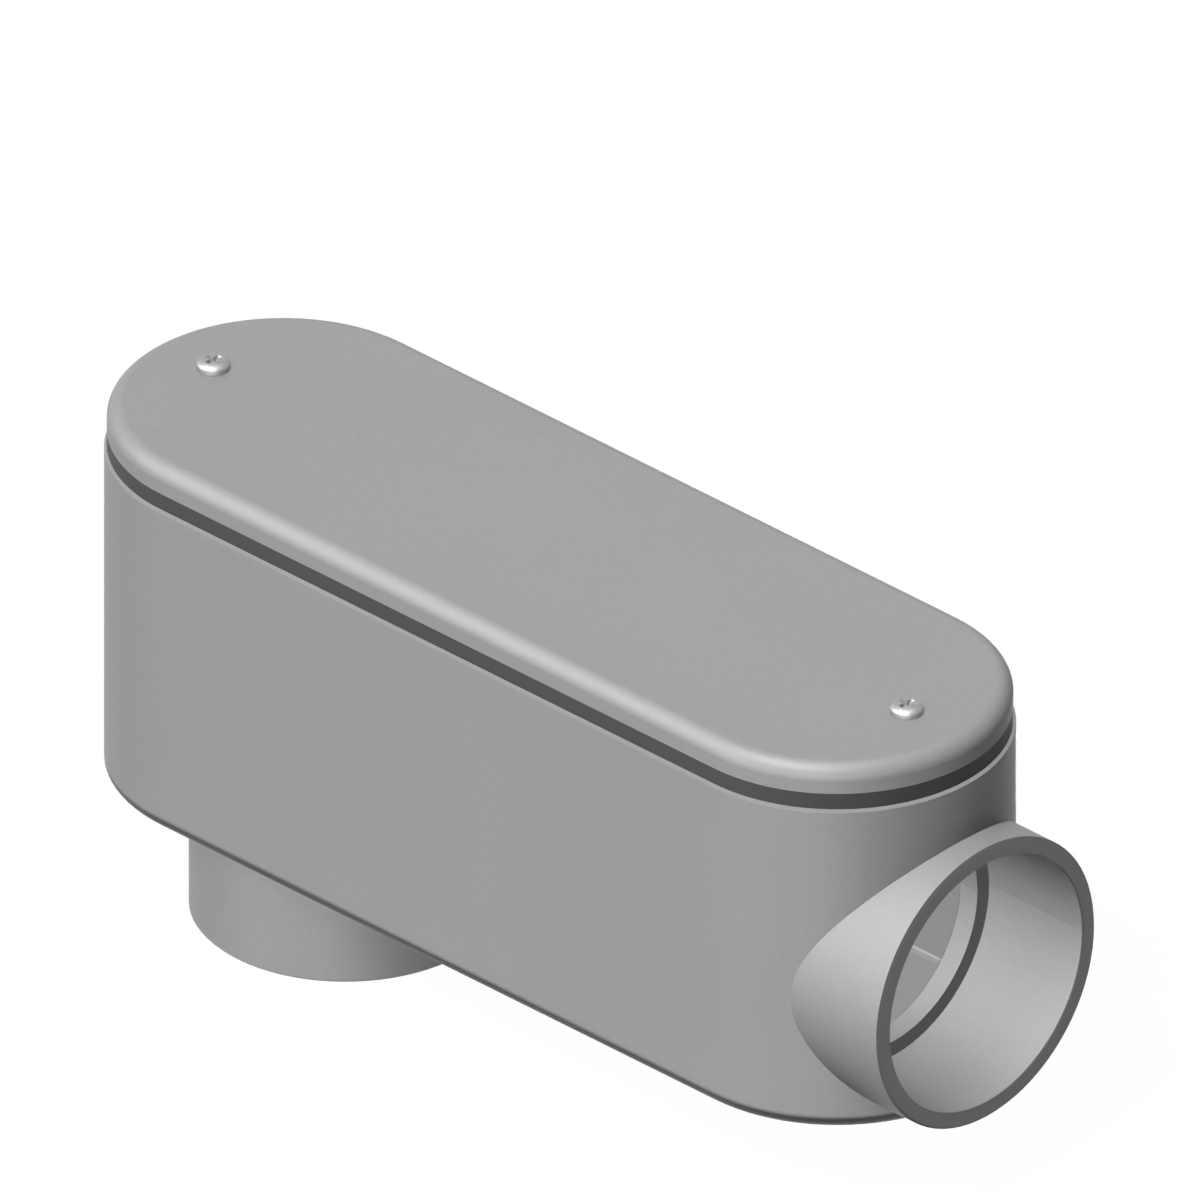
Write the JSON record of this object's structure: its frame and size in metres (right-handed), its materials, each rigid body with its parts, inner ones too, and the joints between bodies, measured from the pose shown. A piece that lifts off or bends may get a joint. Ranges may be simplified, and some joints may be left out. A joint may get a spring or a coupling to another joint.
{
  "type": "conduit body",
  "caption": "Right-angle pull fitting for rigid conduit: obround box, socket on one end, socket on the back, gasket and screwed cover.",
  "frame": {"origin": "centre of the back hub's mouth", "axes": "+Z from the back hub's mouth up to the cover, -Z out of the back hub, +X along the box and out of the end hub, +Y across the box"},
  "size_m": [0.2509, 0.0776, 0.1208],
  "materials": {
    "moulding": "matte, fine grain",
    "gasket": "matte",
    "screw": "satin"
  },
  "bodies": {
    "box": {"conduit_body": "moulding"},
    "gasket": {"gasket": "gasket"},
    "cover": {"cover": "moulding"},
    "screw_left": {"cover_screw_left": "screw"},
    "screw_right": {"cover_screw_right": "screw"}
  },
  "joints": [
    {"name": "gasket_lift", "type": "slide", "parent": "box", "child": "gasket", "axis": [0, 0, 1], "range_m": [0, 0.03]},
    {"name": "cover_lift", "type": "slide", "parent": "gasket", "child": "cover", "axis": [0, 0, 1], "range_m": [0, 0.0285]},
    {"name": "screw_left_lift", "type": "slide", "parent": "cover", "child": "screw_left", "axis": [0, 0, 1], "range_m": [0, 0.0135]},
    {"name": "screw_right_lift", "type": "slide", "parent": "cover", "child": "screw_right", "axis": [0, 0, 1], "range_m": [0, 0.0135]}
  ]
}
